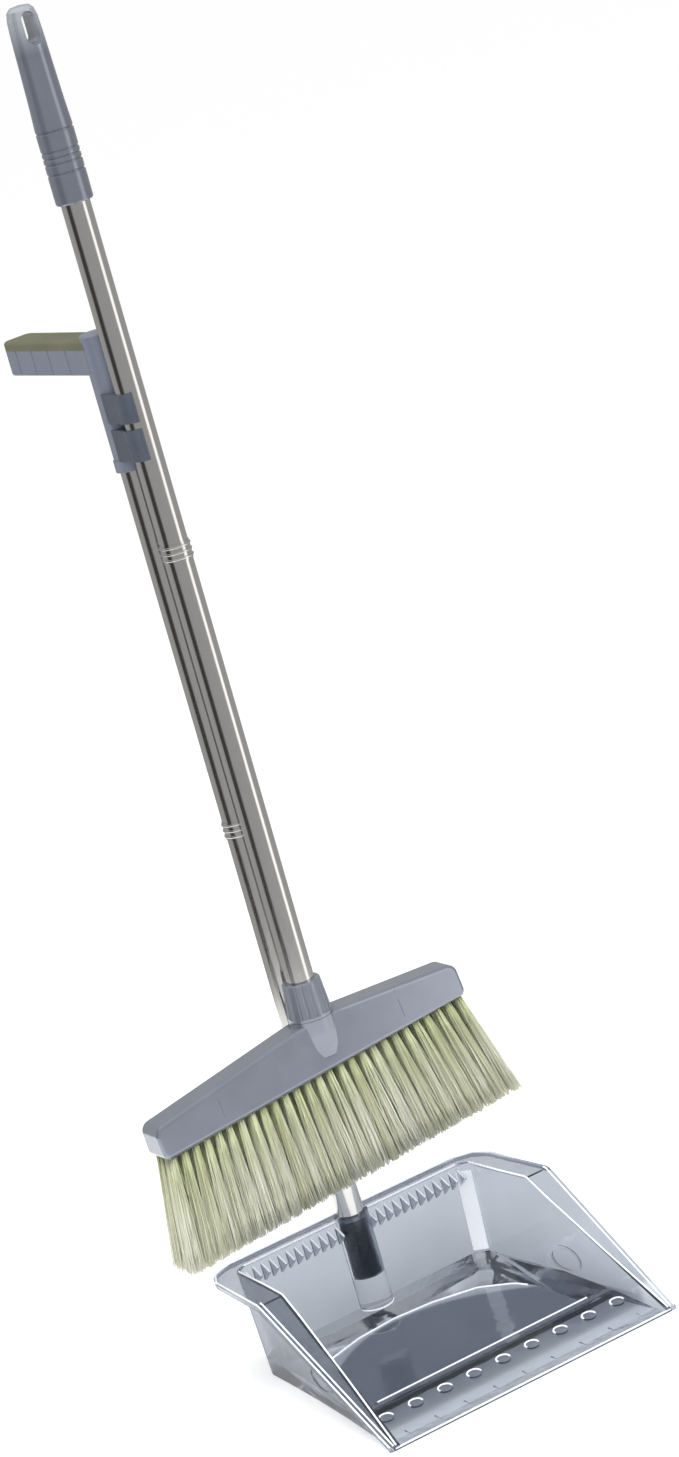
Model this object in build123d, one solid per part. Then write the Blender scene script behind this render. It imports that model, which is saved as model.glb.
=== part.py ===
from build123d import *
import math
import os

# Upright dustpan and broom set, in millimetres, +Z up, the pan's mouth towards -Y.
# The origin is on the floor, under the axis of the pan's own pole.

# ---- driving dimensions: dustpan ---------------------------------------------------------
REAR_Y = 3.6                     # outer face of the rear wall
FRONT_Y = -231.0                 # front lip
KNEE_Y = -85.0                   # where the level flange starts to fall towards the lip
RIM_Z = 89.0                     # top of the level flange
LIP_RIM_Z = 3.0                  # top of the rim at the front tips
PAN_WALL = 2.4
REAR_HALF = 106.0                # outer half-widths of the side walls at floor level
MID_Y, MID_HALF = -108.0, 113.0
FRONT_HALF = 127.0
WALL_FLARE = 4.5                 # the side walls lean out this much by the rim
OUTER_CORNER = 13.0              # round rear corners outside
INNER_FACET = 9.0                # flat facets in the rear corners inside

FLANGE_REAR_Y = 17.0
FLANGE_KNEE_HALF = 136.0
FLANGE_REAR_HALF = 130.0
FLANGE_FRONT_HALF = 131.0
FLANGE_THICK = 2.4
FLANGE_DROP = 5.0                # turned-down outer edge of the flange
FLANGE_EDGE = 2.0                # thickness of that edge
EDGE_STOP = 8.0                  # the edge ends this far behind the lip

FLOOR_TOP = 2.5                  # flat floor
SCOOP_Z = 14.0                   # where the scoop meets the walls
RAMP_Y = -163.0                  # crest of the front ramp
RAMP_Z = 8.6
BUMP_PITCH, BUMPS = 26.6, 9      # low round studs on the ramp
BUMP_Y, BUMP_R, BUMP_H = -188.0, 5.5, 2.6
BUMP_LEAN = 7.5
NOTCH_Y = (-224.0, -213.0)       # short slots across the top of the lip
NOTCH_HALF, NOTCH_Z = 0.6, 1.9
TOOTH_PITCH, TEETH = 7.7, 27     # combing teeth inside the top of the rear wall
TOOTH_HALF = 1.2
DENT_Y, DENT_Z = -112.0, 24.0    # oval rib on the outside of each side wall
DENT_RADII = (19.0, 11.0)
DENT_RIB, DENT_RISE = 2.0, 0.7
SOCKET_R = 13.8
SOCKET_FLOOR_Z = 38.5
SOCKET_FOOT_Z = 12.0
SOCKET_TOP_Z = 91.0

# ---- driving dimensions: poles and clip handle ---------------------------------------------
TUBE_R = 11.1                    # both poles are 22.2 mm stainless tube
TUBE_WALL = 0.8
SNUG = 0.05                      # radial gap of pieces pushed onto or into a tube
BROOM_Y = -30.3                  # the broom's pole stands in front of the pan's pole
BUTT_GAP = 0.1                   # half the gap between two lengths of tube
CORE_WALL, CORE_HALF = 1.6, 28.0
RING_HALF, RING_WALL = 7.0, 0.45
BEAD_R, BEAD_PITCH = 1.0, 4.6

PLUG_FOOT_Z = 40.0               # dark end piece of the pan's pole
PLUG_NECK = 25.0
PLUG_RINGS, PLUG_RING_PITCH = 5, 5.2
PLUG_RING_R, PLUG_RING_HALF = 10.3, 0.9
PAN_TUBE_Z = (87.0, 808.0)
PAN_JOINT_Z = 417.0
SLEEVE_Z = (707.0, 811.0)
SLEEVE_R = 13.0
SLEEVE_RING = (13.9, 716.0)      # thicker ring at the sleeve's foot: radius and top
SPINE_HALF, SPINE_Y = 3.5, -18.0
CLIP_R = 13.4
CLIP_HEIGHTS = {"lower_clip": (716.5, 740.5), "upper_clip": (746.0, 768.5)}
CLIP_MOUTH = 66.0                # half-angle of the clips' mouths
CLIP_TURN = 40.0                 # the mouths face the front and partly to the right
CLIP_BLOCK = 12.2                # half-width of the block between clip and sleeve
CLIP_LIP = 1.3                   # radius of the round lips of the jaws
BAR_Z = (783.0, 803.0)
BAR_END_Y = 125.0
BAR_HALF = 13.3
BAR_TURN = 3.8                   # the bar points back and a little to the left
BAR_CORNER, BAR_ROUND = 7.0, 2.5
BAR_GROOVES = (29.0, 56.0, 81.0, 105.0)
BAR_GROOVE_R = 0.9
PAD_TOP_Z = 810.0
CAP_FOOT_Z, CAP_TOP_Z = 795.0, 814.2

# ---- driving dimensions: broom -------------------------------------------------------------
BROOM_TUBE_Z = (268.0, 1008.0)
BROOM_JOINT_Z = 642.5
GRIP_Z = (914.0, 1062.0)
GRIP_GROOVES = (937.0, 944.6, 949.2, 953.8, 968.4)
HANG_HOLE_Z = 1045.0
HANG_HOLE = (22.0, 9.0)
HANG_BEVEL = 6.0                 # the hole widens this much towards each face

COLLAR_Z = (264.3, 294.0)
COLLAR_R = (17.4, 15.2)
FLUTES, FLUTE_R, FLUTE_LEAN = 18, 1.3, 4.2

HEAD_TILT = 4.6                  # the head's long axis rises to the right
HEAD_SEAT_Z = 264.0
HEAD_SHIFT = -17.4               # centre of the head from the pole's axis
HEAD_DROP = 42.0                 # underside below the seat
HEAD_HALF = 142.0
HEAD_END_H, HEAD_MID_H = 26.7, 40.5
HEAD_PEAK = 20.0                 # half-length of the level part under the collar
HEAD_BASE_HALF, HEAD_TOP_HALF = 15.6, 12.5
HEAD_CROWN_ROUND, HEAD_FOOT_ROUND, HEAD_EDGE_ROUND = 8.0, 5.0, 3.5
SEAM_X, SEAM_HALF, SEAM_DEEP = 85.0, 0.4, 0.35   # parting lines of the head's end cores
SEAM_RUNS = ((9.0, 24.0), (30.0, 40.0))
BOSS_PROFILE = [(0, 229), (12, 229), (15.6, 233), (17.1, 241), (17.5, 252), (17.5, 264), (0, 264)]
THREAD_R, THREAD_FOOT_Z, THREAD_NECK = 9.4, 238.5, 40.0

TUFTS, TUFT_PITCH = 27, 10.4
TUFT_ROWS, ROW_PITCH = 4, 7.0
TUFT_LENGTH = 89.0
TUFT_R = (3.2, 4.3)
SPREAD_X = 1.115                 # tips stand wider apart than the roots
ROW_TIPS = (-15.5, -6.6, 2.3, 11.3)

UPRIGHT = (Align.CENTER, Align.CENTER, Align.MIN)
WIDE = 160.0                     # half-width of cutting solids, past every side
parts = {}


def cylinder(radius, low, high, at=(0, 0)):
    """Upright cylinder between two heights."""
    return Pos(at[0], at[1], low) * Cylinder(radius, high - low, align=UPRIGHT)


def pipe(outer, inner, low, high, at=(0, 0)):
    """Upright cylinder with a bore."""
    return cylinder(outer, low, high, at) - cylinder(inner, low - 1, high + 1, at)


def box(x, y, z):
    """Box between pairs of coordinates."""
    middle = Pos((x[0] + x[1]) / 2, (y[0] + y[1]) / 2, (z[0] + z[1]) / 2)
    return middle * Box(x[1] - x[0], y[1] - y[0], z[1] - z[0])


def side_prism(points, half_width):
    """Outline in Y and Z, carried along X."""
    face = Plane.YZ * make_face(Polyline(*points, close=True))
    return extrude(face, half_width, both=True)


def turned(points, at=(0, 0)):
    """Outline of (radius, height) points turned about an upright axis."""
    face = Plane.XZ * make_face(Polyline(*points, close=True))
    return Pos(at[0], at[1], 0) * revolve(face, Axis.Z)


# ---- dustpan -----------------------------------------------------------------------------
def pan_outline(z, inset, front_y, corner=OUTER_CORNER, flat=False):
    """Plan of the pan's walls at one height: straight rear, round or flat corners, flaring sides."""
    flare = WALL_FLARE * z / RIM_Z - inset
    rear = REAR_Y - inset
    rear_half = REAR_HALF + flare
    mid_half = MID_HALF + flare
    front_half = FRONT_HALF + flare
    start_x, end_y = rear_half - corner, rear - corner
    bulge = corner * (0.5 if flat else 0.2929)
    bend_x, bend_y = rear_half - bulge, rear - bulge
    with BuildLine(Plane.XY.offset(z)) as line:
        Line((-start_x, rear), (start_x, rear))
        if flat:
            Line((start_x, rear), (rear_half, end_y))
        else:
            ThreePointArc((start_x, rear), (bend_x, bend_y), (rear_half, end_y))
        ThreePointArc((rear_half, end_y), (mid_half, MID_Y), (front_half, front_y))
        Line((front_half, front_y), (-front_half, front_y))
        ThreePointArc((-front_half, front_y), (-mid_half, MID_Y), (-rear_half, end_y))
        if flat:
            Line((-rear_half, end_y), (-start_x, rear))
        else:
            ThreePointArc((-rear_half, end_y), (-bend_x, bend_y), (-start_x, rear))
    return make_face(line.line)


def inner_outline(z, front_y):
    """Plan of the inner faces, with a flat facet in each rear corner."""
    return pan_outline(z, PAN_WALL, front_y, INNER_FACET, True)


def scoop_floor(z):
    """Plan of the flat floor: straight at the ramp, round towards the rear wall."""
    side, front = 98, RAMP_Y + 3
    with BuildLine(Plane.XY.offset(z)) as line:
        Line((-side, front), (-side, -110))
        ThreePointArc((-side, -110), (-90, -62), (-70, -38))
        ThreePointArc((-70, -38), (0, -20.5), (70, -38))
        ThreePointArc((70, -38), (90, -62), (side, -110))
        Line((side, -110), (side, front))
        Line((side, front), (-side, front))
    return make_face(line.line)


def flange_outline(inset):
    """Plan of the flange's outer edge, from the round rear corners to the lip."""
    rear = FLANGE_REAR_Y - inset
    straight = 104
    bend = (122 - inset * 0.8, 9 - inset * 0.6)
    side = FLANGE_REAR_HALF - inset
    knee = FLANGE_KNEE_HALF - inset
    tip = FLANGE_FRONT_HALF - inset
    with BuildLine() as line:
        Line((-straight, rear), (straight, rear))
        ThreePointArc((straight, rear), bend, (side, -8))
        Polyline((side, -8), (knee, KNEE_Y), (tip, FRONT_Y), (-tip, FRONT_Y), (-knee, KNEE_Y), (-side, -8))
        ThreePointArc((-side, -8), (-bend[0], bend[1]), (-straight, rear))
    return make_face(line.line)


def rim_slab(depth):
    """Sheet that follows the rim's height from the rear to the front tips."""
    behind = 40
    top = [(behind, RIM_Z), (KNEE_Y, RIM_Z), (FRONT_Y, LIP_RIM_Z)]
    low_tip = max(LIP_RIM_Z - depth * 1.16, 0)
    bottom = [(FRONT_Y, low_tip), (KNEE_Y + depth * 0.28, RIM_Z - depth), (behind, RIM_Z - depth)]
    return side_prism(top + bottom, WIDE)


def pan_floor():
    """Flat floor in a scoop that rises to the walls, ending under the ramp's crest."""
    floor = loft([pan_outline(0, 0, FRONT_Y), pan_outline(SCOOP_Z, 0, FRONT_Y)])
    floor &= box((-WIDE, WIDE), (RAMP_Y, 40), (0, SCOOP_Z))
    floor -= loft([scoop_floor(FLOOR_TOP), inner_outline(SCOOP_Z, RAMP_Y + 3)])
    return floor - box((-WIDE, WIDE), (RAMP_Y - 1, RAMP_Y + 3.01), (RAMP_Z, SCOOP_Z + 1))


def pan_ramp():
    """Thin ramp from the lip to its crest, with a foot behind the crest."""
    outline = [(FRONT_Y, 0), (FRONT_Y, 1.4), (-214, 2.8), (-170, RAMP_Z + 0.3), (RAMP_Y, RAMP_Z),
               (RAMP_Y + 0.5, 2), (RAMP_Y + 0.5, 0), (RAMP_Y - 2, 0), (RAMP_Y - 2.4, 5.9),
               (-170, 6.2), (-213, 0.5), (-217, 0)]
    between = loft([pan_outline(0, 0.6, FRONT_Y), pan_outline(SCOOP_Z, 0.6, FRONT_Y)])
    return side_prism(outline, WIDE) & between


def side_ribs(inside):
    """Low oval rib on the outer face of each side wall."""
    skin = loft([pan_outline(0, -DENT_RISE, FRONT_Y), pan_outline(RIM_Z, -DENT_RISE, FRONT_Y)]) - inside
    long, short = DENT_RADII
    oval = Ellipse(long, short) - Ellipse(long - DENT_RIB, short - DENT_RIB)
    return skin & extrude(Plane.YZ * Pos(DENT_Y, DENT_Z) * oval, WIDE, both=True)


def dustpan():
    rim = [(40, 0), (FRONT_Y, 0), (FRONT_Y, LIP_RIM_Z), (KNEE_Y, RIM_Z), (40, RIM_Z)]
    outside = loft([pan_outline(0, 0, FRONT_Y), pan_outline(RIM_Z, 0, FRONT_Y)]) & side_prism(rim, WIDE)
    past_front = FRONT_Y - 30
    inside = loft([inner_outline(-2, past_front), inner_outline(RIM_Z + 4, past_front)])

    flange = extrude(flange_outline(0), 120) & rim_slab(FLANGE_THICK)
    edge = extrude(flange_outline(0), 120) - extrude(flange_outline(FLANGE_EDGE), 120)
    edge &= rim_slab(FLANGE_DROP)
    edge -= box((-WIDE, WIDE), (FRONT_Y - 1, FRONT_Y + EDGE_STOP), (-1, 100))

    pan = outside - inside
    pan += flange - inside
    pan += edge - inside
    pan += pan_floor()
    pan += pan_ramp()
    pan += side_ribs(inside)
    pan += cylinder(SOCKET_R, SOCKET_FOOT_Z, SOCKET_TOP_Z)
    tooth_outline = [(REAR_Y - 1, RIM_Z - 4), (-10, RIM_Z - 10), (REAR_Y - 1, RIM_Z - 20)]
    for index in range(TEETH):
        x = (index - (TEETH - 1) / 2) * TOOTH_PITCH
        pan += Pos(x, 0, 0) * side_prism(tooth_outline, TOOTH_HALF)
    for index in range(BUMPS):
        x = (index - (BUMPS - 1) / 2) * BUMP_PITCH
        pan += Pos(x, BUMP_Y, 6.4) * Rotation(BUMP_LEAN, 0, 0) * Cylinder(BUMP_R, BUMP_H)
        pan -= box((x - NOTCH_HALF, x + NOTCH_HALF), NOTCH_Y, (NOTCH_Z, 5))
    return pan - cylinder(TUBE_R + SNUG, SOCKET_FLOOR_Z, RIM_Z + 10)


parts["dustpan_shell"] = dustpan()

# ---- the pan's pole ----------------------------------------------------------------------
TUBE_BORE = TUBE_R - TUBE_WALL
CORE_R = TUBE_BORE - SNUG
SLIP_R = TUBE_R + SNUG           # bore of everything pushed onto a tube


def joint_ring(middle, at=(0, 0)):
    """Rolled collar with three beads that covers the joint of two tubes."""
    low, high = middle - RING_HALF, middle + RING_HALF
    ring = pipe(SLIP_R + RING_WALL, SLIP_R, low, high, at)
    for step in (-1, 0, 1):
        bead = Pos(at[0], at[1], middle + step * BEAD_PITCH) * Torus(SLIP_R + 0.3, BEAD_R)
        ring += bead - cylinder(SLIP_R, low, high, at)
    return ring


def tube_pair(low, joint, high, at=(0, 0)):
    """Two lengths of tube that butt together, and the core inside their joint."""
    lower = pipe(TUBE_R, TUBE_BORE, low, joint - BUTT_GAP, at)
    upper = pipe(TUBE_R, TUBE_BORE, joint + BUTT_GAP, high, at)
    core = pipe(CORE_R, CORE_R - CORE_WALL, joint - CORE_HALF, joint + CORE_HALF, at)
    return lower, upper, core


pan_foot = PAN_TUBE_Z[0]
plug = cylinder(TUBE_R, PLUG_FOOT_Z, pan_foot)
for index in range(PLUG_RINGS):
    ring_z = PLUG_FOOT_Z + (index + 1) * PLUG_RING_PITCH
    plug -= pipe(TUBE_R + 1, PLUG_RING_R, ring_z - PLUG_RING_HALF, ring_z + PLUG_RING_HALF)
parts["pole_end_plug"] = plug + cylinder(CORE_R, pan_foot, pan_foot + PLUG_NECK)
lower, upper, core = tube_pair(pan_foot, PAN_JOINT_Z, PAN_TUBE_Z[1])
parts["pan_pole_lower_tube"] = lower
parts["pan_pole_upper_tube"] = upper
parts["pan_pole_joint_core"] = core
parts["pan_pole_joint_ring"] = joint_ring(PAN_JOINT_Z)

# ---- clip handle on the pan's pole ---------------------------------------------------------
AXIS = (0, BROOM_Y)

sleeve = pipe(SLEEVE_R, SLIP_R, *SLEEVE_Z)
sleeve += pipe(SLEEVE_RING[0], SLIP_R, SLEEVE_Z[0], SLEEVE_RING[1])
spine_z = (CLIP_HEIGHTS["lower_clip"][1], CLIP_HEIGHTS["upper_clip"][0])
spine = box((-SPINE_HALF, SPINE_HALF), (SPINE_Y, -SLEEVE_R + 0.6), spine_z)
sleeve += spine - cylinder(CLIP_R, *spine_z, AXIS)
parts["clip_handle_sleeve"] = sleeve

wedge_x = 40 * math.sin(math.radians(CLIP_MOUTH))
wedge_y = -40 * math.cos(math.radians(CLIP_MOUTH))
mouth = extrude(make_face(Polyline((0, 0), (-wedge_x, wedge_y), (wedge_x, wedge_y), close=True)), 200)
mouth = Pos(*AXIS, 0) * Rotation(0, 0, CLIP_TURN) * mouth
lip_path = SLIP_R + CLIP_LIP + 0.1
for name, (low, high) in CLIP_HEIGHTS.items():
    clip = cylinder(CLIP_R, low, high, AXIS) + box((-CLIP_BLOCK, CLIP_BLOCK), (BROOM_Y, -3), (low, high))
    clip -= cylinder(SLEEVE_R, low - 1, high + 1)
    clip -= Pos(0, 0, low - 20) * mouth
    for side in (-1, 1):
        angle = math.radians(CLIP_TURN + side * CLIP_MOUTH)
        lip_at = (lip_path * math.sin(angle), BROOM_Y - lip_path * math.cos(angle))
        clip += cylinder(CLIP_LIP, low, high, lip_at)
    parts[name] = clip - cylinder(SLIP_R, low - 1, high + 1, AXIS)


def bar_block(low, high, rounded_high):
    """Length of the bar grip between two heights, round at its end and along its outer edges."""
    block = box((-BAR_HALF, BAR_HALF), (0, BAR_END_Y), (low, high))
    block = fillet(block.edges().filter_by(Axis.Z).group_by(Axis.Y)[-1], BAR_CORNER)
    rim = block.edges().group_by(Axis.Z)[-1 if rounded_high else 0]
    block = fillet(rim.filter_by(lambda edge: edge.center().Y > 1), BAR_ROUND)
    return Rotation(0, 0, BAR_TURN) * block - cylinder(SLEEVE_R, low - 1, high + 1)


bar = bar_block(*BAR_Z, False)
for y in BAR_GROOVES:
    for side in (-1, 1):
        bar -= Rotation(0, 0, BAR_TURN) * Pos(side * BAR_HALF, y, BAR_Z[0]) * Cylinder(BAR_GROOVE_R, 60)
parts["handle_bar"] = bar
parts["handle_pad"] = bar_block(BAR_Z[1], PAD_TOP_Z, True)

cap = turned([(0, CAP_FOOT_Z), (CORE_R, CAP_FOOT_Z), (CORE_R, SLEEVE_Z[1]), (SLEEVE_R, SLEEVE_Z[1]),
              (SLEEVE_R, SLEEVE_Z[1] + 1.4), (SLEEVE_R - 1.2, CAP_TOP_Z - 0.6), (0, CAP_TOP_Z)])
parts["sleeve_cap"] = cap - cylinder(CORE_R - 2, CAP_FOOT_Z - 5, CAP_FOOT_Z + 10)

# ---- broom's pole and grip -----------------------------------------------------------------
lower, upper, core = tube_pair(BROOM_TUBE_Z[0], BROOM_JOINT_Z, BROOM_TUBE_Z[1], AXIS)
parts["broom_tube_lower"] = lower
parts["broom_tube_upper"] = upper
parts["broom_joint_core"] = core
parts["broom_joint_ring"] = joint_ring(BROOM_JOINT_Z, AXIS)

grip_foot = GRIP_Z[0]
grip_profile = [(0, grip_foot), (13.4, grip_foot), (14.3, grip_foot + 1.2), (14.4, grip_foot + 16)]
for groove in GRIP_GROOVES:
    grip_profile += [(14.35, groove - 1.1), (13.7, groove - 0.5), (13.7, groove + 0.5), (14.3, groove + 1.1)]
grip_profile += [(13.4, 990), (12.7, 1018), (12.2, 1040), (11.6, 1052), (10.2, 1058), (7.4, 1061)]
grip_profile.append((0, GRIP_Z[1]))
grip = turned(grip_profile, AXIS) - cylinder(SLIP_R, grip_foot - 1, BROOM_TUBE_Z[1] + 1, AXIS)
slot = extrude(SlotOverall(*HANG_HOLE, rotation=90), 40, both=True)
grip -= Pos(*AXIS, HANG_HOLE_Z) * Rotation(90, 0, 0) * slot
bevel_low = Pos(0, 0, 8) * SlotOverall(*HANG_HOLE, rotation=90)
bevel_high = Pos(0, 0, 14) * SlotOverall(HANG_HOLE[0] + HANG_BEVEL, HANG_HOLE[1] + HANG_BEVEL, rotation=90)
bevel = loft([bevel_low, bevel_high])
for lean in (-90, 90):
    grip -= Pos(*AXIS, HANG_HOLE_Z) * Rotation(lean, 0, 0) * bevel
parts["broom_grip"] = grip

# ---- broom head ----------------------------------------------------------------------------
HEAD = Pos(0, BROOM_Y, HEAD_SEAT_Z) * Rotation(0, -HEAD_TILT, 0) * Pos(HEAD_SHIFT, 0, -HEAD_DROP)


def head_section(inset):
    """Cross-section of the head, drawn in by an inset."""
    low, high = HEAD_BASE_HALF - inset, HEAD_TOP_HALF - inset
    return [(-low, 0), (low, 0), (high, HEAD_MID_H), (-high, HEAD_MID_H)]


def head_block():
    """Wedge, straight underneath, that rises from its ends to the pole's socket, with soft edges."""
    peak = -HEAD_SHIFT
    front = [(-HEAD_HALF, 0), (HEAD_HALF, 0), (HEAD_HALF, HEAD_END_H), (peak + HEAD_PEAK, HEAD_MID_H),
             (peak - HEAD_PEAK, HEAD_MID_H), (-HEAD_HALF, HEAD_END_H)]
    rise = extrude(Plane.XZ * make_face(Polyline(*front, close=True)), 40, both=True)
    for radius, top in ((HEAD_CROWN_ROUND, True), (HEAD_FOOT_ROUND, False)):
        across = rise.edges().filter_by(Axis.Y).filter_by(lambda edge: abs(edge.center().X) > HEAD_HALF - 1)
        rise = fillet(across.filter_by(lambda edge: (edge.center().Z > 1) == top), radius)
    block = rise & side_prism(head_section(0), HEAD_HALF + 1)
    outline = block.edges().filter_by(lambda edge: abs(edge.center().Y) > 5 and edge.center().Z > 0.5)
    return fillet(outline, HEAD_EDGE_ROUND)


block = head_block()
for x in (-SEAM_X, SEAM_X):
    for low, high in SEAM_RUNS:
        seam = box((x - SEAM_HALF, x + SEAM_HALF), (-HEAD_BASE_HALF, HEAD_BASE_HALF), (low, high))
        block -= seam - side_prism(head_section(SEAM_DEEP), HEAD_HALF)
head = HEAD * block + turned(BOSS_PROFILE, AXIS)
head -= cylinder(THREAD_R + SNUG, THREAD_FOOT_Z - 0.5, HEAD_SEAT_Z + 1, AXIS)
parts["broom_head"] = head
thread_top = HEAD_SEAT_Z + 4
spigot = cylinder(THREAD_R, THREAD_FOOT_Z, thread_top, AXIS)
parts["head_thread_spigot"] = spigot + cylinder(CORE_R, thread_top, thread_top + THREAD_NECK - 4, AXIS)

for row in range(TUFT_ROWS):
    base_y = (row - (TUFT_ROWS - 1) / 2) * ROW_PITCH
    tufts = []
    for index in range(TUFTS):
        x = (index - (TUFTS - 1) / 2) * TUFT_PITCH
        root = Pos(x, base_y, 0) * Circle(TUFT_R[0])
        tip = Pos(x * SPREAD_X, ROW_TIPS[row], -TUFT_LENGTH) * Circle(TUFT_R[1])
        tufts.append(HEAD * loft([root, tip]))
    parts["tuft_row_%d" % (row + 1)] = Compound(children=tufts)

# ---- fluted collar nut -----------------------------------------------------------------------
collar_foot, collar_top = COLLAR_Z
collar = turned([(0, collar_foot), (COLLAR_R[0], collar_foot), (COLLAR_R[0], collar_foot + 2),
                 (COLLAR_R[1], collar_top - 1), (COLLAR_R[1] - 1, collar_top), (0, collar_top)], AXIS)
flute = Cylinder(FLUTE_R, 40, align=UPRIGHT)
flute = Pos(COLLAR_R[0] + 0.6, 0, collar_foot + 3) * Rotation(0, -FLUTE_LEAN, 0) * flute
for index in range(FLUTES):
    collar -= Pos(*AXIS, 0) * Rotation(0, 0, index * 360 / FLUTES) * flute
parts["collar_nut"] = collar - cylinder(SLIP_R, 200, 300, AXIS)

os.makedirs("parts", exist_ok=True)
for name, shape in parts.items():
    export_step(shape, "parts/%s.step" % name)
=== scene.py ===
import math

import bpy
import numpy as np
from mathutils import Matrix, Vector


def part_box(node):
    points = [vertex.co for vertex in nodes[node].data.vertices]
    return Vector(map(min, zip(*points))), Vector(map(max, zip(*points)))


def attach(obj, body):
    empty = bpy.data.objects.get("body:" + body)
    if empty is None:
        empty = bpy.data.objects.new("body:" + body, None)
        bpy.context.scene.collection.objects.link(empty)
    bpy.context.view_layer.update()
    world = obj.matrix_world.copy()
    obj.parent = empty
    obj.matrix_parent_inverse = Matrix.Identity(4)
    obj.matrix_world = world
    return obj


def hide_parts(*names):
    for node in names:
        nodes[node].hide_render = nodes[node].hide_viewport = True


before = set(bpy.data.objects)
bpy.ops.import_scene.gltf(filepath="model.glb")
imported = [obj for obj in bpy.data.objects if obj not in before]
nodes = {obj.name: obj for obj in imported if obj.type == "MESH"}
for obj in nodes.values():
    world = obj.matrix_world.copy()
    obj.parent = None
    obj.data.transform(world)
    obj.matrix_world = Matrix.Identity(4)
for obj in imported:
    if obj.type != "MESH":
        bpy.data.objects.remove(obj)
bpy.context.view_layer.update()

# ---- clear dustpan ---------------------------------------------------------------------------
# One injection moulding in clear styrene with a smoky blue tint. Its walls are polished, and faint flow ripples
# and handling scuffs run over the faces. The floor of its scoop is tinted much darker: painted shade.


def new_material(name):
    """A node material; gives back the material, its node tree and its Principled shader."""
    material = bpy.data.materials.new(name)
    material.use_nodes = True
    return material, material.node_tree, material.node_tree.nodes["Principled BSDF"]


def put(tree, kind, settings=None, **inputs):
    """Adds a node. settings are its properties. inputs are numbers or output sockets, by socket name with
    _ for a space, or by socket number after the letter i."""
    node = tree.nodes.new(kind)
    for key, value in (settings or {}).items():
        setattr(node, key, value)
    for key, value in inputs.items():
        socket = node.inputs[int(key[1:])] if key[1:].isdigit() else node.inputs[key.replace("_", " ")]
        if isinstance(value, bpy.types.NodeSocket):
            tree.links.new(value, socket)
        else:
            socket.default_value = value
    return node


def blend(tree, mask, first, second, kind="MIX"):
    """Colour that goes from first to second as the mask goes from 0 to 1."""
    mix = put(tree, "ShaderNodeMix", {"data_type": "RGBA", "blend_type": kind}, i0=mask, i6=first, i7=second)
    return mix.outputs[2]


def spread(tree, value, low, high, new_low=0.0, new_high=1.0):
    """Value mapped from one range to another and held inside it."""
    return put(tree, "ShaderNodeMapRange", Value=value, From_Min=low, From_Max=high, To_Min=new_low,
               To_Max=new_high).outputs["Result"]


def calculate(tree, operation, *values):
    """Result of one Math node, whose values are numbers or output sockets."""
    sockets = {"i%d" % number: value for number, value in enumerate(values)}
    return put(tree, "ShaderNodeMath", {"operation": operation}, **sockets).outputs[0]


def coordinates(tree):
    """X, Y and Z of the shaded point in the object's own frame."""
    where = put(tree, "ShaderNodeTexCoord").outputs["Object"]
    return put(tree, "ShaderNodeSeparateXYZ", Vector=where).outputs


def moulded_surface():
    """Group: slow tone drift, fine grain and scuffs of a moulded or drawn surface. Tone and Rub are masks
    over Object coordinates, Grain is a height, and Stretch squeezes the pattern along Z."""
    group = bpy.data.node_groups.new("moulded_surface", "ShaderNodeTree")
    for name, default in (("Drift Scale", 30.0), ("Grain Scale", 1500.0), ("Stretch", 1.0)):
        socket = group.interface.new_socket(name, in_out="INPUT", socket_type="NodeSocketFloat")
        socket.default_value = default
    for name in ("Tone", "Grain", "Rub"):
        group.interface.new_socket(name, in_out="OUTPUT", socket_type="NodeSocketFloat")
    source = group.nodes.new("NodeGroupInput").outputs
    where = put(group, "ShaderNodeTexCoord").outputs["Object"]
    squeeze = put(group, "ShaderNodeCombineXYZ", X=1.0, Y=1.0, Z=source["Stretch"])
    squeezed = put(group, "ShaderNodeVectorMath", {"operation": "MULTIPLY"}, i0=where, i1=squeeze.outputs[0])
    place = squeezed.outputs[0]
    tone = put(group, "ShaderNodeTexNoise", Vector=place, Scale=source["Drift Scale"], Detail=3.0)
    grain = put(group, "ShaderNodeTexNoise", Vector=place, Scale=source["Grain Scale"], Detail=2.0)
    rub = put(group, "ShaderNodeTexNoise", Vector=place, Scale=55.0, Detail=3.0)
    out = group.nodes.new("NodeGroupOutput")
    group.links.new(spread(group, tone.outputs["Fac"], 0.15, 0.85), out.inputs["Tone"])
    group.links.new(grain.outputs["Fac"], out.inputs["Grain"])
    group.links.new(spread(group, rub.outputs["Fac"], 0.15, 0.85), out.inputs["Rub"])
    return group


surface_group = moulded_surface()


def surface(tree, drift, grain, stretch=1.0):
    """Outputs of the moulded surface group, with this material's own scales."""
    node = put(tree, "ShaderNodeGroup", {"node_tree": surface_group})
    node.inputs["Drift Scale"].default_value = drift
    node.inputs["Grain Scale"].default_value = grain
    node.inputs["Stretch"].default_value = stretch
    return node.outputs


def bump(tree, shader, height, strength, distance):
    """Gives a shader a normal from a height."""
    raised = put(tree, "ShaderNodeBump", Height=height, Strength=strength, Distance=distance)
    tree.links.new(raised.outputs["Normal"], shader.inputs["Normal"])


def paint(node_names, material):
    """Gives CAD nodes one material."""
    for name in node_names:
        slots = nodes[name].data.materials
        slots.clear()
        slots.append(material)


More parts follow.
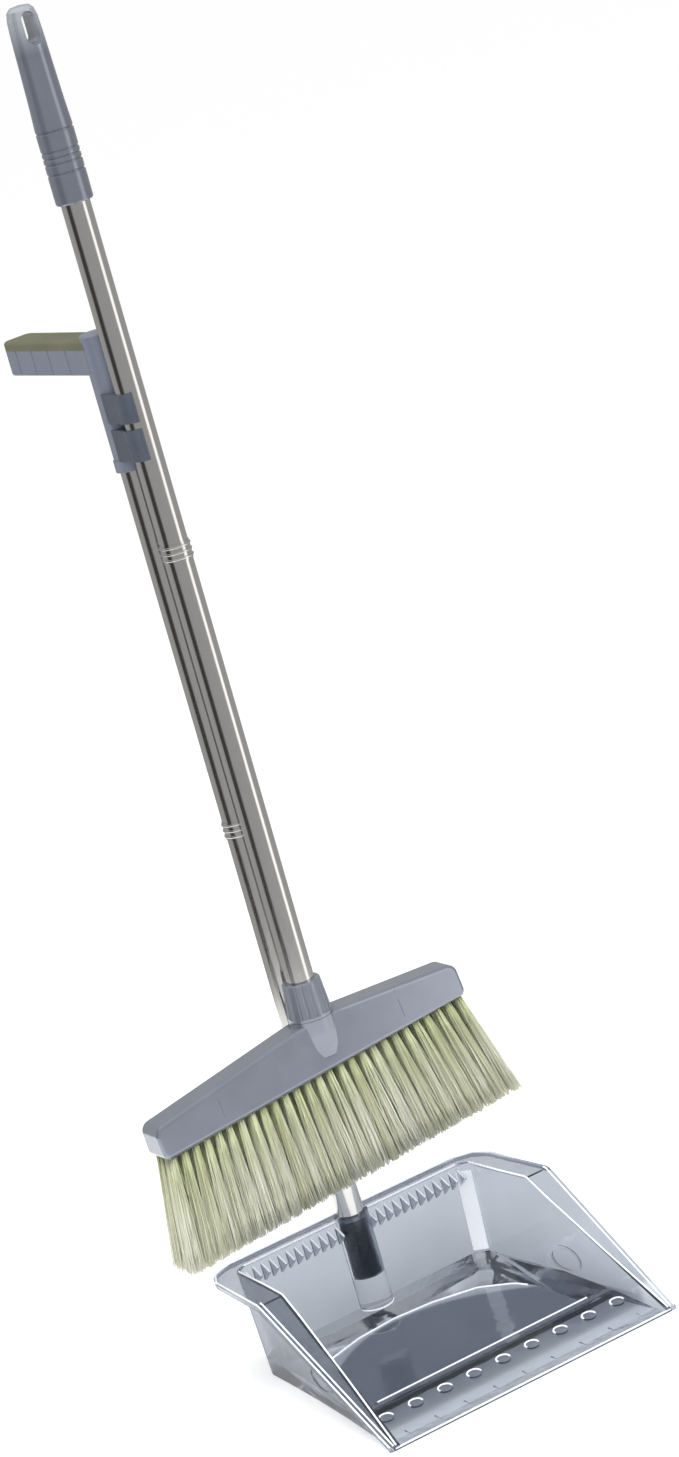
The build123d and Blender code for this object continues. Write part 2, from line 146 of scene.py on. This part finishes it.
clear, tree, shader = new_material("smoky_clear_styrene")
shader.inputs["Transmission Weight"].default_value = 1.0
shader.inputs["IOR"].default_value = 1.42
faces = surface(tree, 9.0, 60.0)
SCOOP_BULGE = 6.5
SCOOP_EDGE_Y = (-0.021, -0.025)
RAMP_Y = (-0.1950, -0.1600)
RAMP_SHARE = 0.35
LIP_Y = (-0.2010, -0.1960)
PALE_LIP_Y = (-0.2010, -0.2060)
FLOOR_TOP_Z = (0.0108, 0.0088)
place = coordinates(tree)
across = calculate(tree, "MULTIPLY", place["X"], place["X"])
depth_back = calculate(tree, "MULTIPLY_ADD", across, SCOOP_BULGE, place["Y"])
in_scoop = spread(tree, depth_back, *SCOOP_EDGE_Y)
past_ramp = spread(tree, place["Y"], *RAMP_Y, RAMP_SHARE, 1.0)
past_lip = spread(tree, place["Y"], *LIP_Y)
low_down = spread(tree, place["Z"], *FLOOR_TOP_Z)
# Painted shade: the floor of the scoop, inside its curved edge, behind the ramp and low down, gets a much darker
# tint.
floor_shade_mask = in_scoop
for mask in (past_ramp, past_lip, low_down):
    floor_shade_mask = calculate(tree, "MULTIPLY", floor_shade_mask, mask)
wall_tint = blend(tree, faces["Tone"], (0.36, 0.39, 0.44, 1), (0.44, 0.475, 0.53, 1))
painted_floor_shade = blend(tree, faces["Tone"], (0.16, 0.18, 0.23, 1), (0.20, 0.225, 0.28, 1))
lip_tint = blend(tree, spread(tree, place["Y"], *PALE_LIP_Y), wall_tint, (0.58, 0.62, 0.68, 1))
tree.links.new(blend(tree, floor_shade_mask, lip_tint, painted_floor_shade), shader.inputs["Base Color"])
tree.links.new(spread(tree, faces["Rub"], 0, 1, 0.02, 0.14), shader.inputs["Roughness"])
bump(tree, shader, faces["Grain"], 0.35, 0.0010)
# A faint blue glow over the whole shell: painted light, standing in for light scattered inside the tinted plastic.
shader.inputs["Emission Color"].default_value = (0.62, 0.70, 0.90, 1)
shader.inputs["Emission Strength"].default_value = 0.012
paint(["dustpan_shell"], clear)

# ---- painted edge highlights of the dustpan --------------------------------------------------------
# Thin rounded beads run along the moulding's rim, scoop, ramp, lip, studs, teeth and socket foot, and thin plates
# lie on its flat polished rear corner facets. They glow nearly white: painted highlights for the glints on its
# edges.
BEAD_R = 0.0007
BEAD_SIDES = 6
REAR_Y, FRONT_Y, KNEE_Y = 0.0036, -0.231, -0.085
WALL = 0.0024
RIM_Z = 0.089
WALL_LEAN = 0.0045
RIM_CORNERS = ((0.1295, -0.008), (0.1215, 0.009), (0.104, 0.0167))
SCOOP_ARC_X = (0, 0.035, 0.070, 0.090, 0.094)
SCOOP_ARC_Y = (-0.0205, -0.0250, -0.0380, -0.0620, -0.0760)
STUDS, STUD_PITCH, STUD_R, STUD_Y, STUD_Z = 9, 0.0266, 0.0055, -0.188, 0.0078
STUD_DOME = 0.0007
TEETH, TOOTH_PITCH = 27, 0.0077
SOCKET_HALF = 0.0138
SOCKET_FOOT_R, SOCKET_FOOT_Z = 0.0136, 0.0125


def rail(points, step=0.003):
    """Even points along a polyline: each run is divided by its length, so corners stay sharp."""
    points = np.asarray(points, dtype=float)
    run = np.concatenate([[0], np.cumsum(np.linalg.norm(np.diff(points, axis=0), axis=1))])
    count = max(int(run[-1] / step), 2)
    even = np.union1d(np.linspace(0, run[-1], count), run)
    return np.stack([np.interp(even, run, points[:, k]) for k in range(3)], -1)


def bead(path, radius, sides):
    """Round bead along a path: each ring stands square to the path's local direction, with its first spoke
    level, and a face closes each end. Gives back the points, the side faces and the end faces."""
    tangent = np.gradient(path, axis=0)
    tangent /= np.linalg.norm(tangent, axis=1, keepdims=True)
    level = np.cross(tangent, (0, 0, 1.0))
    level /= np.linalg.norm(level, axis=1, keepdims=True)
    other = np.cross(level, tangent)
    turn = np.arange(sides) * 2 * np.pi / sides
    offset = np.cos(turn)[None, :, None] * level[:, None] + np.sin(turn)[None, :, None] * other[:, None]
    points = (path[:, None] + radius * offset).reshape(-1, 3)
    ring = np.arange(len(path) - 1)[:, None] * sides
    side = np.arange(sides)[None]
    after = (side + 1) % sides
    quads = np.stack([ring + side, ring + sides + side, ring + sides + after, ring + after], -1)
    first_end = np.arange(sides)
    last_end = (len(path) - 1) * sides + first_end[::-1]
    return points, quads.reshape(-1, 4), np.stack([first_end, last_end])


def wall_half(y, z):
    """Outer half-width of the side walls: straight runs through five points of the plan, leaning out in
    proportion to height."""
    plan = np.interp(y, (-0.231, -0.170, -0.108, -0.050, 0.0), (0.127, 0.1195, 0.113, 0.1085, 0.106))
    return plan + WALL_LEAN * z / RIM_Z


sweep = np.linspace(0, 1, 60)
slope_y = np.interp(sweep, (0, 0.35, 1), (-0.006, KNEE_Y, FRONT_Y + 0.001))
slope_z = np.interp(slope_y, (FRONT_Y, KNEE_Y), (0.0035, RIM_Z + 0.0003))
inner_x = wall_half(slope_y, slope_z) - WALL
outer_x = np.interp(slope_y, (FRONT_Y, KNEE_Y, -0.008), (0.131, 0.136, 0.130)) - 0.0006
arc_x = np.linspace(-0.094, 0.094, 61)
arc_y = np.interp(np.abs(arc_x), SCOOP_ARC_X, SCOOP_ARC_Y)
paths = []
for side in (-1, 1):
    paths.append(np.stack([side * inner_x, slope_y, slope_z], -1))
    paths.append(np.stack([side * outer_x, slope_y, slope_z], -1))
    paths.append(np.stack([side * (outer_x - 0.0035), slope_y, slope_z + 0.0002], -1)[20:])
paths.append(rail([(-x, y, RIM_Z) for x, y in RIM_CORNERS] + [(x, y, RIM_Z) for x, y in RIM_CORNERS[::-1]]))
paths.append(rail([(-0.100, REAR_Y - WALL, RIM_Z), (0.100, REAR_Y - WALL, RIM_Z)]))
paths.append(rail([(-0.097, -0.1598, 0.0088), (0.097, -0.1598, 0.0088)]))
paths.append(rail([(-0.126, FRONT_Y + 0.0006, 0.0016), (0.126, FRONT_Y + 0.0006, 0.0016)]))
paths.append(np.stack([arc_x, arc_y, np.full(61, 0.0030)], -1))
# Arcs round the rear of each ramp stud, strokes on the comb teeth and a half ring round the socket's foot: painted
# glints.
swing = np.linspace(-0.2, np.pi + 0.2, 15)
for index in range(STUDS):
    stud_x = (index - (STUDS - 1) / 2) * STUD_PITCH
    paths.append(np.stack([stud_x + STUD_R * np.cos(swing), STUD_Y + STUD_R * np.sin(swing),
                           STUD_Z + STUD_DOME * np.sin(swing)], -1))
for index in range(TEETH):
    tooth_x = (index - (TEETH - 1) / 2) * TOOTH_PITCH
    if abs(tooth_x) > SOCKET_HALF:
        paths.append(np.linspace((tooth_x, 0.0018, 0.0848), (tooth_x, -0.0096, 0.0794), 4))
swing = np.linspace(-np.pi, 0, 25)
paths.append(np.stack([SOCKET_FOOT_R * np.cos(swing), SOCKET_FOOT_R * np.sin(swing),
                       np.full(len(swing), SOCKET_FOOT_Z)], -1))
bead_points, bead_faces, offset = [], [], 0
for path in paths:
    points, sides, ends = bead(path, BEAD_R, BEAD_SIDES)
    bead_points.append(points)
    bead_faces += (sides + offset).tolist() + (ends + offset).tolist()
    offset += len(points)
# Thin plates on the two rear corner facets: painted highlights.
FACET = 0.009
facet_z = np.array((0.016, 0.083))
facet_half = wall_half(0.0, facet_z) - WALL
facet_rear = REAR_Y - WALL
inward = np.array((-1, -1, 0)) / math.sqrt(2)
FACET_GAP, FACET_THICK = 0.0001, 0.0004
skin = np.array([(3, 2, 1, 0), (4, 5, 6, 7), (0, 1, 5, 4), (1, 2, 6, 5), (2, 3, 7, 6), (3, 0, 4, 7)])
for side in (-1, 1):
    front = np.stack([facet_half, np.full(2, facet_rear - FACET), facet_z], -1)
    rear = np.stack([facet_half - FACET, np.full(2, facet_rear), facet_z], -1)
    inner = np.concatenate([front, rear[::-1]]) + inward * FACET_GAP
    outer = inner + inward * FACET_THICK
    block = np.concatenate([inner, outer]) * (side, 1, 1)
    bead_points.append(block)
    bead_faces += (skin[:, ::side] + offset).tolist()
    offset += len(block)
edge_mesh = bpy.data.meshes.new("edge_highlight_beads")
edge_mesh.from_pydata(np.concatenate(bead_points).tolist(), [], bead_faces)
edge_highlight_beads = bpy.data.objects.new("edge_highlight_beads", edge_mesh)
bpy.context.scene.collection.objects.link(edge_highlight_beads)
# A near-white glowing finish for all of these: painted highlight.
bright, tree, shader = new_material("painted_edge_highlight")
faces = surface(tree, 60.0, 400.0)
tree.links.new(blend(tree, faces["Tone"], (0.80, 0.84, 0.90, 1), (0.97, 0.98, 1.0, 1)),
               shader.inputs["Base Color"])
tree.links.new(spread(tree, faces["Rub"], 0, 1, 0.08, 0.30), shader.inputs["Roughness"])
bump(tree, shader, faces["Grain"], 0.2, 0.0003)
shader.inputs["Emission Color"].default_value = (0.86, 0.91, 1.0, 1)
shader.inputs["Emission Strength"].default_value = 0.42
edge_mesh.materials.append(bright)
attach(edge_highlight_beads, "dustpan")

# ---- stainless poles ---------------------------------------------------------------------------
# Welded stainless tube, polished along its length, in two lengths per pole. A rolled ring with three
# beads covers each joint.
steel, tree, shader = new_material("polished_stainless")
shader.inputs["Metallic"].default_value = 1.0
drawn = surface(tree, 40.0, 2600.0, 0.02)
tree.links.new(blend(tree, drawn["Tone"], (0.63, 0.62, 0.60, 1), (0.71, 0.70, 0.68, 1)),
               shader.inputs["Base Color"])
tree.links.new(spread(tree, drawn["Grain"], 0.3, 0.7, 0.10, 0.19), shader.inputs["Roughness"])
bump(tree, shader, drawn["Grain"], 0.08, 0.0001)
paint(["pan_pole_lower_tube", "pan_pole_upper_tube", "pan_pole_joint_ring",
       "broom_tube_lower", "broom_tube_upper", "broom_joint_ring"], steel)

# ---- cores in the joints and the pan pole's end piece --------------------------------------------
# Dark moulded nylon, pushed into the tubes. Only the end piece shows, through the clear socket.
nylon, tree, shader = new_material("dark_nylon")
faces = surface(tree, 60.0, 1200.0)
tree.links.new(blend(tree, faces["Tone"], (0.012, 0.013, 0.017, 1), (0.032, 0.034, 0.042, 1)),
               shader.inputs["Base Color"])
shader.inputs["Coat Weight"].default_value = 0.8
shader.inputs["Coat Roughness"].default_value = 0.08
tree.links.new(spread(tree, faces["Rub"], 0, 1, 0.16, 0.34), shader.inputs["Roughness"])
bump(tree, shader, faces["Grain"], 0.15, 0.0002)
paint(["pole_end_plug", "pan_pole_joint_core", "broom_joint_core", "head_thread_spigot"], nylon)

# ---- clip handle ---------------------------------------------------------------------------------
# A moulded sleeve pressed on the pan's pole, with a bar grip behind and its closing cap on top, in
# blue-grey polypropylene. The two snap clips in front are darker: partly their own plastic, partly painted shade.
satin, tree, shader = new_material("blue_grey_satin")
faces = surface(tree, 25.0, 1800.0)
shader.inputs["Metallic"].default_value = 0.35
shader.inputs["Coat Weight"].default_value = 0.5
shader.inputs["Coat Roughness"].default_value = 0.16
tree.links.new(blend(tree, faces["Tone"], (0.190, 0.212, 0.275, 1), (0.228, 0.252, 0.320, 1)),
               shader.inputs["Base Color"])
tree.links.new(spread(tree, faces["Grain"], 0.3, 0.7, 0.26, 0.38), shader.inputs["Roughness"])
bump(tree, shader, faces["Grain"], 0.10, 0.0002)
paint(["clip_handle_sleeve", "handle_bar", "sleeve_cap"], satin)

# Partly painted shade: the clips' colour is set as dark as their shaded side faces.
darkened_clip, tree, shader = new_material("clip_plastic_and_shade")
faces = surface(tree, 45.0, 1500.0)
tree.links.new(blend(tree, faces["Tone"], (0.052, 0.066, 0.090, 1), (0.076, 0.090, 0.118, 1)),
               shader.inputs["Base Color"])
tree.links.new(spread(tree, faces["Rub"], 0, 1, 0.26, 0.42), shader.inputs["Roughness"])
bump(tree, shader, faces["Grain"], 0.10, 0.0002)
paint(["lower_clip", "upper_clip"], darkened_clip)

# ---- soft pad of the bar grip -----------------------------------------------------------------------
# Olive thermoplastic rubber moulded over the bar's top: slightly crowned, with a matt pebble grain.
soft, tree, shader = new_material("olive_soft_rubber")
faces = surface(tree, 40.0, 900.0)
tree.links.new(blend(tree, faces["Tone"], (0.112, 0.113, 0.070, 1), (0.148, 0.147, 0.094, 1)),
               shader.inputs["Base Color"])
tree.links.new(spread(tree, faces["Grain"], 0.3, 0.7, 0.50, 0.68), shader.inputs["Roughness"])
bump(tree, shader, faces["Grain"], 0.35, 0.0004)
paint(["handle_pad"], soft)

# ---- broom grip, collar nut and head ----------------------------------------------------------------
# Glossy polypropylene with a faint pearl in its blue-grey, darker on the grip and pale at the grip's
# top end. The grip is pushed on the pole, the nut screws down on the spigot and locks the head.
HEAD_SHADES = ((0.225, 0.248, 0.300, 1), (0.262, 0.286, 0.345, 1))
PALE_SHADE = (0.40, 0.425, 0.475, 1)
PALE_FROM_Z, PALE_TO_Z = 1.026, 1.048
GRIP_SHADES = ((0.150, 0.164, 0.206, 1), (0.182, 0.198, 0.245, 1))
for name, shades, gloss_nodes in (("blue_grey_gloss", HEAD_SHADES, ["collar_nut", "broom_head"]),
                                  ("blue_grey_grip", GRIP_SHADES, ["broom_grip"])):
    gloss, tree, shader = new_material(name)
    faces = surface(tree, 35.0, 700.0)
    shader.inputs["Metallic"].default_value = 0.50
    shader.inputs["Coat Weight"].default_value = 1.0
    shader.inputs["Coat Roughness"].default_value = 0.06
    pale_end = spread(tree, coordinates(tree)["Z"], PALE_FROM_Z, PALE_TO_Z)
    own_shade = blend(tree, faces["Tone"], *shades)
    tree.links.new(blend(tree, pale_end, own_shade, PALE_SHADE), shader.inputs["Base Color"])
    tree.links.new(spread(tree, faces["Rub"], 0, 1, 0.16, 0.28), shader.inputs["Roughness"])
    bump(tree, shader, faces["Grain"], 0.06, 0.0002)
    paint(gloss_nodes, gloss)

# ---- tufts ---------------------------------------------------------------------------------------
# Straight synthetic filaments, stapled into the head in four rows of tufts that spread towards
# their cut tips. Each filament is a thin three-sided rod with a slight bow of its own.
HEAD_TILT = math.radians(4.6)
TUFTS = 27
FILAMENTS = 100
RINGS = 6
SIDES = 3
FILAMENT_R = 0.00030
ROOT_R = 0.0032
TIP_R = 0.0060
PITCH = 0.0104
ROW_PITCH = 0.007
FAN = 1.115
ROW_TIPS = (-0.0155, -0.0066, 0.0023, 0.0113)
ROWS = len(ROW_TIPS)
BRUSH_Y = (-0.0200, 0.0156)
LENGTH = 0.089
ROOT_DEPTH = 0.0010
TIP_SCATTER, BOW_SCATTER, CUT_SCATTER = 0.0015, 0.0006, 0.0010
OWN_SHARE = 0.65
FIRST_SEED = 40
HEAD_TOP_Z = 0.264
HEAD_SHIFT = (-0.0174, 0, -0.042)
nut_low, nut_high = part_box("collar_nut")
pole_y = (nut_low.y + nut_high.y) / 2
head_place = (Matrix.Translation((0, pole_y, HEAD_TOP_Z)) @ Matrix.Rotation(-HEAD_TILT, 4, "Y")
              @ Matrix.Translation(HEAD_SHIFT))


def rods(name, centres, radius, sides, attributes):
    """Many thin closed rods in one mesh. centres is (rods, rings, 3). Each ring is a regular polygon in the
    plane of X and Y round its centre, and one face closes each end. attributes are values per ring."""
    count, rings = centres.shape[:2]
    turn = np.arange(sides) * 2 * np.pi / sides
    spokes = np.stack([np.cos(turn), np.sin(turn), np.zeros(sides)], -1) * radius
    points = centres[:, :, None, :] + spokes
    first = np.arange(count)[:, None, None] * rings * sides
    ring = np.arange(rings - 1)[None, :, None] * sides
    side = np.arange(sides)[None, None, :]
    here = first + ring + side
    there = first + ring + (side + 1) % sides
    quads = np.stack([there, here, here + sides, there + sides], -1).reshape(-1, 4)
    low = np.arange(count)[:, None] * rings * sides + np.arange(sides)
    caps = np.concatenate([low, low[:, ::-1] + (rings - 1) * sides])
    loops = np.concatenate([quads.ravel(), caps.ravel()]).astype(np.int32)
    counts = np.concatenate([np.full(len(quads), 4), np.full(len(caps), sides)])
    mesh = bpy.data.meshes.new(name)
    mesh.vertices.add(points.size // 3)
    mesh.vertices.foreach_set("co", points.reshape(-1).astype(np.float32))
    mesh.loops.add(len(loops))
    mesh.loops.foreach_set("vertex_index", loops)
    mesh.polygons.add(len(counts))
    mesh.polygons.foreach_set("loop_start", (np.cumsum(counts) - counts).astype(np.int32))
    for key, values in attributes.items():
        layer = mesh.attributes.new(key, "FLOAT", "POINT")
        layer.data.foreach_set("value", np.repeat(values.reshape(-1), sides).astype(np.float32))
    mesh.update(calc_edges=True)
    piece = bpy.data.objects.new(name, mesh)
    bpy.context.scene.collection.objects.link(piece)
    return piece


filament, tree, shader = new_material("cut_filament")
along = put(tree, "ShaderNodeAttribute", {"attribute_name": "along"}).outputs["Fac"]
chance = put(tree, "ShaderNodeAttribute", {"attribute_name": "chance"}).outputs["Fac"]
dye = blend(tree, chance, (0.74, 0.76, 0.50, 1), (1.0, 1.0, 0.92, 1))
# Painted shade: filaments are coloured darker and greener towards their roots, under the head.
root_shade = blend(tree, spread(tree, along, 0.0, 0.6), (0.78, 0.82, 0.62, 1), (1, 1, 1, 1))
tree.links.new(blend(tree, 1.0, dye, root_shade, "MULTIPLY"), shader.inputs["Base Color"])
shader.inputs["Roughness"].default_value = 0.42

for row in range(ROWS):
    rng = np.random.default_rng(FIRST_SEED + row)
    count = TUFTS * FILAMENTS
    tuft_x = np.repeat(np.arange(TUFTS) - (TUFTS - 1) / 2, FILAMENTS) * PITCH
    angle = rng.uniform(0, 2 * np.pi, count)
    reach = np.sqrt(rng.uniform(0, 1, count))
    disc = np.stack([reach * np.cos(angle), reach * np.sin(angle)], -1)
    root = np.stack([tuft_x, np.full(count, (row - (ROWS - 1) / 2) * ROW_PITCH)], -1) + disc * (ROOT_R - FILAMENT_R)
    tip = np.stack([tuft_x * FAN, np.full(count, ROW_TIPS[row])], -1) + disc * (TIP_R - FILAMENT_R)
    tip += rng.normal(0, TIP_SCATTER, (count, 2))
    t = np.linspace(0, 1, RINGS)[None, :, None]
    bow = rng.normal(0, BOW_SCATTER, (count, 1, 2)) * 4 * t * (1 - t)
    plan = root[:, None] * (1 - t) + tip[:, None] * t + bow
    plan[..., 1] = np.clip(plan[..., 1], *BRUSH_Y)
    drop = -t[..., 0] * (LENGTH + ROOT_DEPTH - np.abs(rng.normal(0, CUT_SCATTER, (count, 1))))
    centres = np.concatenate([plan, drop[..., None]], -1)
    own = rng.uniform(0, 1, (count, 1))
    tuft_own = np.repeat(rng.uniform(0, 1, TUFTS), FILAMENTS)[:, None]
    values = {"along": np.broadcast_to(t[..., 0], (count, RINGS)),
              "chance": np.broadcast_to(OWN_SHARE * own + (1 - OWN_SHARE) * tuft_own, (count, RINGS))}
    piece = rods("filaments_row_%d" % (row + 1), centres, FILAMENT_R, SIDES, values)
    piece.data.transform(head_place)
    piece.data.materials.append(filament)
    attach(piece, "broom_lower")
    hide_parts("tuft_row_%d" % (row + 1))

# ---- floor, light and camera ---------------------------------------------------------------------
# A plain pale studio: white floor, even light from the sky and one soft light above. A grey surround with
# one strip light and one dark flag stands round it, and only polished faces reflect that.
floor_mesh = bpy.data.meshes.new("studio_floor")
corners = [(-40, -40, -0.0004), (40, -40, -0.0004), (40, 40, -0.0004), (-40, 40, -0.0004)]
floor_mesh.from_pydata(corners, [], [(0, 1, 2, 3)])
floor = bpy.data.objects.new("studio_floor", floor_mesh)
bpy.context.scene.collection.objects.link(floor)
pale, tree, shader = new_material("pale_floor")
shader.inputs["Base Color"].default_value = (0.80, 0.80, 0.80, 1)
shader.inputs["Emission Color"].default_value = (1, 1, 1, 1)
shader.inputs["Emission Strength"].default_value = 0.46
shader.inputs["Roughness"].default_value = 0.9
shader.inputs["Specular IOR Level"].default_value = 0.0
floor_mesh.materials.append(pale)

FRONT_BEARING = math.radians(-115)
SCREEN_R = 0.9
SCREEN_Z = (-0.05, 1.6)
SCREEN_STEPS = 96
turn = np.linspace(0, 2 * np.pi, SCREEN_STEPS, endpoint=False)
ring = np.stack([SCREEN_R * np.cos(turn), SCREEN_R * np.sin(turn) + pole_y], -1)
screen_points = np.concatenate([np.column_stack([ring, np.full(SCREEN_STEPS, z)]) for z in SCREEN_Z]).tolist()
here = np.arange(SCREEN_STEPS)
after = (here + 1) % SCREEN_STEPS
screen_faces = np.stack([here, after, after + SCREEN_STEPS, here + SCREEN_STEPS], -1).tolist()
screen_mesh = bpy.data.meshes.new("studio_screen")
screen_mesh.from_pydata(screen_points, [], screen_faces)
screen = bpy.data.objects.new("studio_screen", screen_mesh)
bpy.context.scene.collection.objects.link(screen)
screen_light = bpy.data.materials.new("studio_screen")
screen_light.use_nodes = True
tree = screen_light.node_tree
tree.nodes.clear()
place = coordinates(tree)
level_y = calculate(tree, "SUBTRACT", place["Y"], pole_y)
bearing = calculate(tree, "ARCTAN2", level_y, place["X"])
turned = calculate(tree, "SUBTRACT", bearing, FRONT_BEARING)
wrapped = calculate(tree, "WRAP", turned, math.pi, -math.pi)
share = spread(tree, wrapped, -math.pi, math.pi)


def panel(bearing, width):
    """Mask of a tall upright panel with soft edges. Its middle is at the bearing, in degrees to the right of
    the studio's front, and it is 1 over half of its width and falls to 0 at its edges."""
    gap = calculate(tree, "SUBTRACT", share, (bearing + 180) / 360)
    away = calculate(tree, "ABSOLUTE", gap)
    return spread(tree, away, width / 720, width / 1440)


SURROUND = (0.40, 0.40, 0.40, 1)
DARK_FLAG = (0.05, 0.05, 0.05, 1)
STRIP_LIGHT = (1.5, 1.5, 1.5, 1)
studio_light = blend(tree, panel(-65, 50), SURROUND, DARK_FLAG)
studio_light = blend(tree, panel(65, 30), studio_light, STRIP_LIGHT)
glow = put(tree, "ShaderNodeEmission", Color=studio_light, Strength=1.0)
put(tree, "ShaderNodeOutputMaterial", Surface=glow.outputs[0])
screen_mesh.materials.append(screen_light)
screen.visible_camera = False
screen.visible_diffuse = False
screen.visible_transmission = False
screen.visible_shadow = False
screen.visible_volume_scatter = False

world = bpy.data.worlds.new("studio")
bpy.context.scene.world = world
world.use_nodes = True
world.node_tree.nodes["Background"].inputs["Color"].default_value = (1, 1, 1, 1)
SKY_LIGHT, SKY_SEEN = 0.66, 1.05
sky = world.node_tree
seen = put(sky, "ShaderNodeLightPath").outputs["Is Camera Ray"]
sky.links.new(spread(sky, seen, 0, 1, SKY_LIGHT, SKY_SEEN), sky.nodes["Background"].inputs["Strength"])
SOFTBOX_PLACE = Vector((-0.5, -0.9, 2.5))
SOFTBOX_FACING = Vector((-0.5, -0.9, 2.1))
softbox = bpy.data.objects.new("softbox", bpy.data.lights.new("softbox", "AREA"))
softbox.data.shape = "DISK"
softbox.data.size = 1.6
softbox.data.energy = 46
aim = SOFTBOX_FACING.to_track_quat("Z", "Y").to_matrix().to_4x4()
softbox.matrix_world = Matrix.Translation(SOFTBOX_PLACE) @ aim
softbox.visible_glossy = False
bpy.context.scene.collection.objects.link(softbox)

TARGET = Vector((0.1062, 0, 0.4575))
AZIMUTH, ELEVATION, ROLL = (math.radians(v) for v in (26.68, 14.19, -15.80))
DISTANCE = 3.499
LENS = 111.8
back = Vector((-math.sin(AZIMUTH) * math.cos(ELEVATION), -math.cos(AZIMUTH) * math.cos(ELEVATION),
               math.sin(ELEVATION)))
right = (-back).cross(Vector((0, 0, 1))).normalized()
up = right.cross(-back)
camera_right = math.cos(ROLL) * right + math.sin(ROLL) * up
camera_up = math.cos(ROLL) * up - math.sin(ROLL) * right
camera = bpy.data.objects.new("camera", bpy.data.cameras.new("camera"))
camera.data.lens = LENS
camera.data.sensor_width = 36
camera.data.clip_end = 200
axes = Matrix((camera_right, camera_up, back)).transposed().to_4x4()
camera.matrix_world = Matrix.Translation(TARGET + back * DISTANCE) @ axes
bpy.context.scene.collection.objects.link(camera)
bpy.context.scene.camera = camera
bpy.context.scene.view_settings.view_transform = "Standard"
